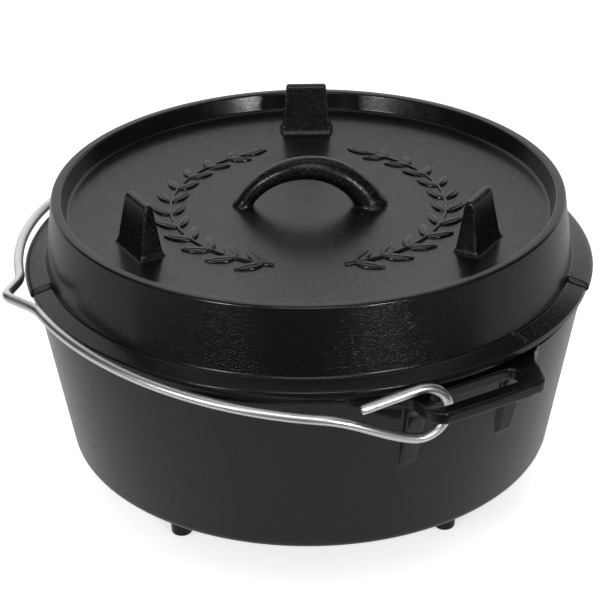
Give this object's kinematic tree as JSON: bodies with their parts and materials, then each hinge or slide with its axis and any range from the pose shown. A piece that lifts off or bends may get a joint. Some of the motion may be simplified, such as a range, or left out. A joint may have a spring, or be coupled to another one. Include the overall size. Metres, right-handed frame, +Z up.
{
  "type": "camp dutch oven",
  "caption": "Cast iron camp oven on legs, with a lid that holds coals behind a raised rim and has legs and a loop handle, and a wire bail that swings on slotted ears.",
  "frame": {"origin": "on the pot's axis, in the plane that the ends of its legs stand on", "axes": "+Z up along the pot's axis, +X towards one ear, -Y towards the side that the bail lies on"},
  "size_m": [0.3156, 0.2941, 0.1924],
  "materials": {
    "casting": "satin, fine sand-cast grain, seasoned",
    "wire": "bright drawn steel"
  },
  "bodies": {
    "pot": {"pot": "casting"},
    "lid": {"lid": "casting"},
    "bail": {"bail": "wire"}
  },
  "joints": [
    {"name": "lid_lift", "type": "slide", "parent": "pot", "child": "lid", "axis": [0, 0, 1], "range_m": [0, 0.15]},
    {"name": "bail_swing", "type": "hinge", "parent": "pot", "child": "bail", "pos_m": [0, 0, 0.1295], "axis": [-0.9803, 0.195, 0.0314], "range_deg": [0, 163]}
  ]
}
